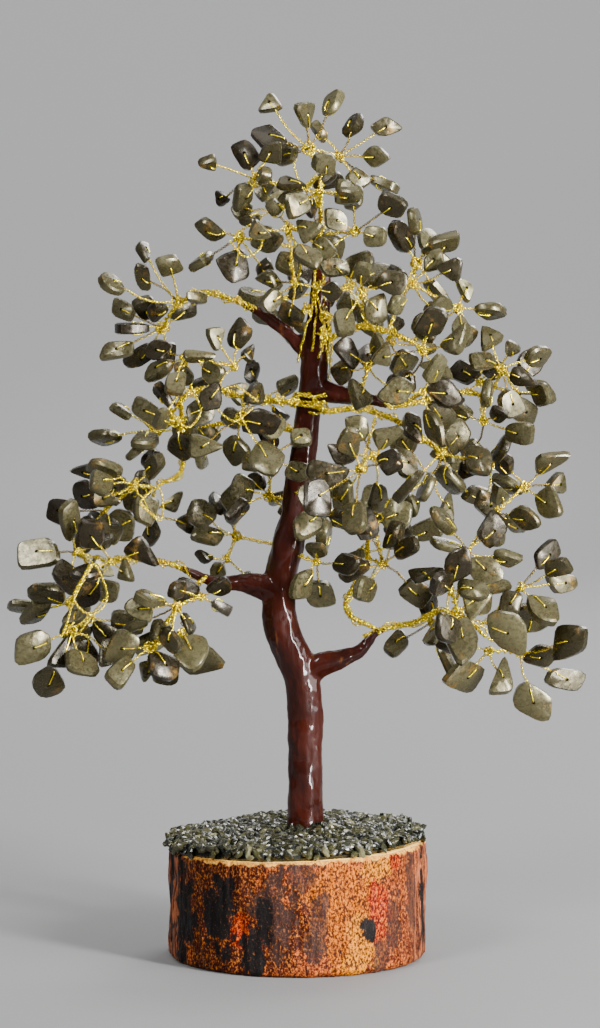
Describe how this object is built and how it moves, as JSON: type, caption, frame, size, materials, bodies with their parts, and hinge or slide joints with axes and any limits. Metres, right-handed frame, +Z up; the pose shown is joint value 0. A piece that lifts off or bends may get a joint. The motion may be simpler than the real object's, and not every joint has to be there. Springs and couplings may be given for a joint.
{
  "type": "wire tree sculpture",
  "caption": "Tree sculpture of twisted gold wire with polished stone chips for leaves, a resin-coated trunk, and crushed stone glued on a log slice.",
  "frame": {"origin": "centre of the log slice's underside, on the surface that it stands on", "axes": "+Z up along the trunk, -Y towards the front as pictured, +X to the right seen from the front"},
  "size_m": [0.183, 0.1082, 0.2713],
  "materials": {
    "bark": "rough bark with a bare wood rim",
    "crushed_stone": "crushed stone, glossy with glue",
    "resin": "glossy dark red-brown lacquer over wire",
    "gold_wire": "bright gold-coloured craft wire, twisted in pairs",
    "leaf_stone": "tumbled chips with a half-metallic polish"
  },
  "bodies": {
    "root": {"bough_back_high": "gold_wire", "bough_back_left": "gold_wire", "bough_back_low": "gold_wire", "bough_high_left": "gold_wire", "bough_high_right": "gold_wire", "bough_left": "gold_wire", "bough_left_drop": "gold_wire", "bough_low_left": "gold_wire", "bough_low_left_drop": "gold_wire", "bough_low_right": "gold_wire", "bough_low_right_rise": "gold_wire", "bough_right": "gold_wire", "bough_right_low": "gold_wire", "bough_top": "gold_wire", "log_base": "bark", "spray_back_high_1": "leaf_stone", "spray_back_left_1": "leaf_stone", "spray_back_low_1": "leaf_stone", "spray_high_left_1": "leaf_stone", "spray_high_left_2": "leaf_stone", "spray_high_right_1": "leaf_stone", "spray_high_right_2": "leaf_stone", "spray_high_right_3": "leaf_stone", "spray_left_1": "leaf_stone", "spray_left_2": "leaf_stone", "spray_left_3": "leaf_stone", "spray_left_4": "leaf_stone", "spray_left_5": "leaf_stone", "spray_left_drop_1": "leaf_stone", "spray_left_drop_2": "leaf_stone", "spray_low_left_1": "leaf_stone", "spray_low_left_2": "leaf_stone", "spray_low_left_drop_1": "leaf_stone", "spray_low_left_drop_2": "leaf_stone", "spray_low_right_1": "leaf_stone", "spray_low_right_2": "leaf_stone", "spray_low_right_3": "leaf_stone", "spray_low_right_4": "leaf_stone", "spray_low_right_5": "leaf_stone", "spray_low_right_rise_1": "leaf_stone", "spray_right_1": "leaf_stone", "spray_right_2": "leaf_stone", "spray_right_3": "leaf_stone", "spray_right_low_1": "leaf_stone", "spray_right_low_2": "leaf_stone", "spray_top_1": "leaf_stone", "spray_top_2": "leaf_stone", "spray_top_3": "leaf_stone", "spray_top_4": "leaf_stone", "spray_top_5": "leaf_stone", "spray_top_6": "leaf_stone", "spray_top_7": "leaf_stone", "spray_trunk_1": "leaf_stone", "spray_trunk_2": "leaf_stone", "spray_trunk_3": "leaf_stone", "spray_trunk_4": "leaf_stone", "spray_trunk_5": "leaf_stone", "stone_bed": "crushed_stone", "trunk": "resin"}
  },
  "joints": []
}
